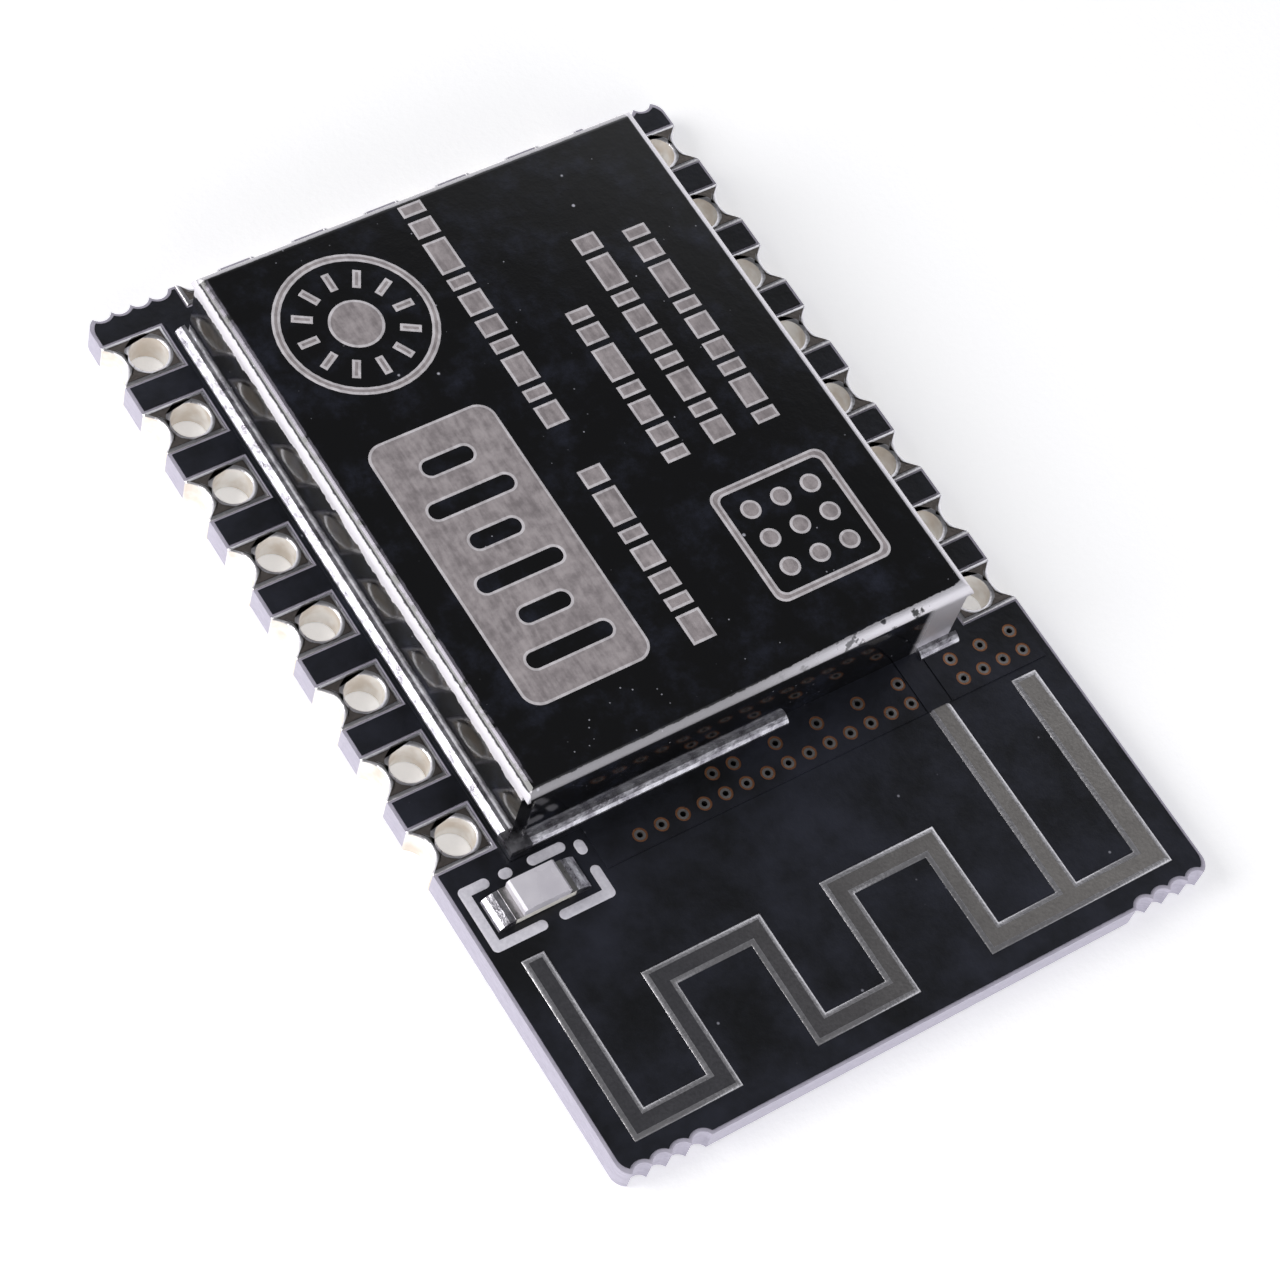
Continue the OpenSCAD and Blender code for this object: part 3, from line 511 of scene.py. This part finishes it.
# %% Dress the solids
DRESS = {
    "board_laminate": LAMINATE,
    "solder_mask_top": LACQUER,
    "solder_mask_bottom": LACQUER,
    "pads_left": PAD_METAL,
    "pads_right": PAD_METAL,
    "pads_rear": PAD_METAL,
    "antenna_trace": TRACK_METAL,
    "ground_copper": COPPER,
    "ground_vias": TIN,
    "component_lands": TIN,
    "shield_can": COAT,
    "shield_print": MARK,
    "shield_solder_bead": SOLDER,
    "shield_solder_dabs": SOLDER,
    "led_base": LIGHT_CERAMIC,
    "led_lens": RESIN,
    "led_terminals": TIN,
    "led_solder": SOLDER,
    "led_frame_print": INK,
    "radio_chip": MOULDING,
    "radio_chip_leads": TIN,
    "memory_chip": MOULDING,
    "memory_chip_leads": TIN,
    "crystal_base": TAN_CERAMIC,
    "crystal_cap": LID,
    "capacitor_bodies": TAN_CERAMIC,
    "capacitor_ends": TIN,
    "resistor_bodies": GLAZE,
    "resistor_ends": TIN,
    "coil_bodies": COIL_CERAMIC,
    "coil_ends": TIN,
}
for node, finish in DRESS.items():
    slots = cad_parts[node].data.materials
    slots.clear()
    slots.append(finish)
print("solids dressed", len(DRESS), "of", len(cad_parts))

# %% [markdown]
# ## Tools for new pieces
# Most new pieces start as a copy of their solid, so that they fit exactly. The solid's
# mesh is loose triangles, so the copy is merged first. A piece is finished in one call: it
# becomes an object at the origin, rides on the module's one body, wears its finishes and
# hides the solid it stands for.

# %% Copy, shade and finish
MERGE = 1e-7
LEVEL = 1e-6
SHARP = math.radians(38)


def solid_copy(node):
    bm = bmesh.new()
    bm.from_mesh(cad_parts[node].data)
    bmesh.ops.remove_doubles(bm, verts=bm.verts, dist=MERGE)
    return bm


def finish_piece(bm, name, slot, finishes, *nodes):
    """Makes the mesh an object, with smooth shading that breaks at sharp edges."""
    for face in bm.faces:
        face.smooth = True
    for edge in bm.edges:
        edge.smooth = len(edge.link_faces) == 2 and edge.calc_face_angle(0) < SHARP
    mesh = bpy.data.meshes.new(name)
    bm.to_mesh(mesh)
    bm.free()
    for finish in finishes:
        mesh.materials.append(finish)
    piece = bpy.data.objects.new(name, mesh)
    bpy.context.scene.collection.objects.link(piece)
    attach(piece, "root")
    if nodes:
        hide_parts(*nodes)
    triangles = sum(len(p.vertices) - 2 for p in mesh.polygons)
    print(name, "triangles", triangles)
    return piece


# %% [markdown]
# ### Rounded shoulders
# Etched copper, print and lacquer never end in a knife edge: surface tension and the
# etching bath leave a rounded shoulder, and that shoulder is the bright line round every
# track. The top faces sink by the shoulder's height. Each inset then takes them a step
# inwards and back up, and a last level step keeps the flat part's shading flat.

# %% Shoulders
def top_faces(bm, height):
    return [
        f for f in bm.faces
        if f.normal.z > 0.99 and abs(f.calc_center_median().z - height) < LEVEL
    ]


def lift(bm, faces, by):
    points = {v for f in faces for v in f.verts}
    bmesh.ops.translate(bm, verts=list(points), vec=(0, 0, by))


def refill(bm, faces):
    """Fills the flat part anew, because insets leave its old triangles distorted."""
    inside = set(faces)
    rim = [
        e for e in {e for f in faces for e in f.edges}
        if any(f not in inside for f in e.link_faces)
    ]
    inner = [e for e in {e for f in faces for e in f.edges} if all(f in inside for f in e.link_faces)]
    bmesh.ops.delete(bm, geom=faces, context="FACES_ONLY")
    bmesh.ops.delete(bm, geom=inner, context="EDGES")
    filled = bmesh.ops.triangle_fill(bm, edges=rim, use_beauty=True, normal=(0, 0, 1))["geom"]
    return [g for g in filled if isinstance(g, bmesh.types.BMFace)]


def round_shoulders(bm, height, steps, rim_material=0):
    """steps are pairs of millimetres: how far inwards, and how far up."""
    faces = top_faces(bm, height)
    lift(bm, faces, -sum(rise for _, rise in steps) * MM)
    rims = []
    for inwards, rise in [*steps, (0.01, 0)]:
        rims += bmesh.ops.inset_region(
            bm, faces=faces, thickness=inwards * MM, depth=0, use_even_offset=True, use_boundary=True
        )["faces"]
        lift(bm, faces, rise * MM)
    for face in rims:
        face.material_index = rim_material
    return refill(bm, faces)


# %% [markdown]
# ## Pads
# Each pad is copper with tin over it, on both faces of the board and down through its hole
# and its notch. The shoulder catches the light along its front-facing sides, and its faces
# get a pale finish all round, a painted highlight. The upright faces of the holes get a
# near-white finish of their own: painted light for the white backdrop seen through the
# holes and its reflection in the barrels.

# %% Pads with shoulders and bright barrels
PAD_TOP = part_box("pads_left")[1].z
LAND_SHOULDER = [(0.03, 0.022), (0.03, 0.01), (0.03, 0.003)]


def pads(node):
    bm = solid_copy(node)
    # The shoulder faces get the pale finish: a painted highlight round each pad.
    round_shoulders(bm, PAD_TOP, LAND_SHOULDER, rim_material=2)
    # The upright faces of holes and notches get the near-white finish: painted light for the backdrop seen
    # through them.
    for face in bm.faces:
        if abs(face.normal.z) < 0.25:
            face.material_index = 1
    finish_piece(bm, "tinned_" + node, "pad_finish", [PAD_METAL, BARREL_METAL, SHOULDER_HIGHLIGHT], node)


for row in ("pads_left", "pads_right", "pads_rear"):
    pads(row)

# %% [markdown]
# ## Antenna
# The antenna is one meandering track. It stands proud of the lacquer, and its shoulders
# are broad, so the sides that face the light show as bright bands. The shoulder faces also
# get a pale finish all round, a painted highlight.

# %% Antenna with broad shoulders
TRACK_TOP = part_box("antenna_trace")[1].z
TRACK_SHOULDER = [(0.03, 0.022), (0.04, 0.012), (0.05, 0.005)]


def antenna():
    bm = solid_copy("antenna_trace")
    # The shoulder faces get the pale finish: a painted highlight round the track.
    round_shoulders(bm, TRACK_TOP, TRACK_SHOULDER, rim_material=1)
    finish_piece(bm, "antenna_track", "track_finish", [TRACK_METAL, SHOULDER_HIGHLIGHT], "antenna_trace")


antenna()

# %% [markdown]
# ## Print
# The frame printed round the light is thick white ink with rounded strokes. The marks on
# the can get a step of another finish round them, because the beam leaves a paler rim. Both
# use the shoulders again, on a smaller scale.

# %% Soft-edged ink
INK_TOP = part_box("led_frame_print")[1].z
INK_SHOULDER = [(0.02, 0.006), (0.03, 0.004), (0.03, 0.002)]


def light_frame():
    bm = solid_copy("led_frame_print")
    round_shoulders(bm, INK_TOP, INK_SHOULDER)
    finish_piece(bm, "light_frame_ink", "white_ink", [INK], "led_frame_print")


light_frame()

# %% [markdown]
# ### Marks
# The marks are raised by a hundredth of a millimetre, just enough for their rims to catch
# the light. The faces of the shoulder get the rim's finish through their material index.

# %% Marks with paler rims
MARK_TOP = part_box("shield_print")[1].z
MARK_SHOULDER = [(0.02, 0.004), (0.035, 0.003)]


def marks():
    bm = solid_copy("shield_print")
    round_shoulders(bm, MARK_TOP, MARK_SHOULDER, rim_material=1)
    finish_piece(bm, "burnt_marks", "shield_marks", [MARK, MARK_RIM], "shield_print")


marks()

# %% [markdown]
# ## The can
# The can is one thin sheet, drawn over a block so that its top runs into four walls through
# a round bend, and slit at the upright corners, where the sheet can't follow. A cube with
# its top edges bevelled has that outline. Cutting the walls off short of each corner leaves
# the slits, and the sheet's thickness comes last, inwards.

# %% Fold the sheet
SLIT = 0.2 * MM
FOLD_STEPS = 8


def folded_sheet(low, high):
    """The sheet's outer surface, with its walls cut off short of the corners."""
    bm = bmesh.new()
    bmesh.ops.create_cube(bm, size=1)
    bmesh.ops.scale(bm, verts=bm.verts, vec=high - low)
    bmesh.ops.translate(bm, verts=bm.verts, vec=(low + high) / 2)
    bmesh.ops.delete(bm, geom=[f for f in bm.faces if f.normal.z < -0.5], context="FACES_ONLY")
    rim = [e for e in bm.edges if all(abs(v.co.z - high.z) < LEVEL for v in e.verts)]
    bmesh.ops.bevel(
        bm, geom=rim, offset=BEND * MM, segments=FOLD_STEPS, profile=0.5, affect="EDGES", material=-1
    )
    middle = (low + high) / 2
    half = (high - low) / 2
    cuts = [(axis, middle[axis] + side * (half[axis] - SLIT), side) for axis in (0, 1) for side in (-1, 1)]
    for axis, at, side in cuts:
        place, direction = Vector(), Vector()
        place[axis], direction[axis] = at, side
        whole = bm.verts[:] + bm.edges[:] + bm.faces[:]
        bmesh.ops.bisect_plane(bm, geom=whole, plane_co=place, plane_no=direction, dist=MERGE)
    ends = []
    for face in bm.faces:
        centre = face.calc_center_median()
        along = 1 if abs(face.normal.x) > 0.9 else 0
        beyond = abs(centre[along] - middle[along]) > half[along] - SLIT + LEVEL
        if abs(face.normal.z) < 0.05 and centre.z < high.z - BEND * MM and beyond:
            ends.append(face)
    bmesh.ops.delete(bm, geom=ends, context="FACES")
    return bm


# %% [markdown]
# ### Thickness
# Solidify copies the surface inwards and closes the gap along every open edge, at the foot
# and down both sides of each slit, so the can is one closed solid like the real sheet.

# %% Give the sheet its thickness
def can():
    bm = folded_sheet(CAN_LOW, CAN_HIGH)
    bmesh.ops.solidify(bm, geom=bm.faces[:], thickness=SHEET * MM)
    finish_piece(bm, "folded_can", "shield_sheet", [COAT], "shield_can")


can()

# %% [markdown]
# ## Floor
# The module lies on a plain pale sweep. The sweep glows a little, as paper does that is lit
# from below, so that shadows on it stay faint.

# %% Floor
SWEEP_GLOW = 0.35
SWEEP_SIZE = 0.6
FLOOR_GAP = 0.01 * MM


def floor():
    bm = bmesh.new()
    bmesh.ops.create_grid(bm, x_segments=1, y_segments=1, size=SWEEP_SIZE)
    mesh = bpy.data.meshes.new("floor")
    bm.to_mesh(mesh)
    bm.free()
    sweep = plain_finish("pale_floor", tone(244, 244, 246), tone(248, 248, 250), 0.7)
    glow = sweep.node_tree.nodes["Principled BSDF"].inputs
    glow["Emission Color"].default_value = tone(255, 255, 255)
    glow["Emission Strength"].default_value = SWEEP_GLOW
    mesh.materials.append(sweep)
    plane = bpy.data.objects.new("floor", mesh)
    bpy.context.scene.collection.objects.link(plane)
    plane.location.z = SOLIDS_BOX[0][2] - FLOOR_GAP


floor()
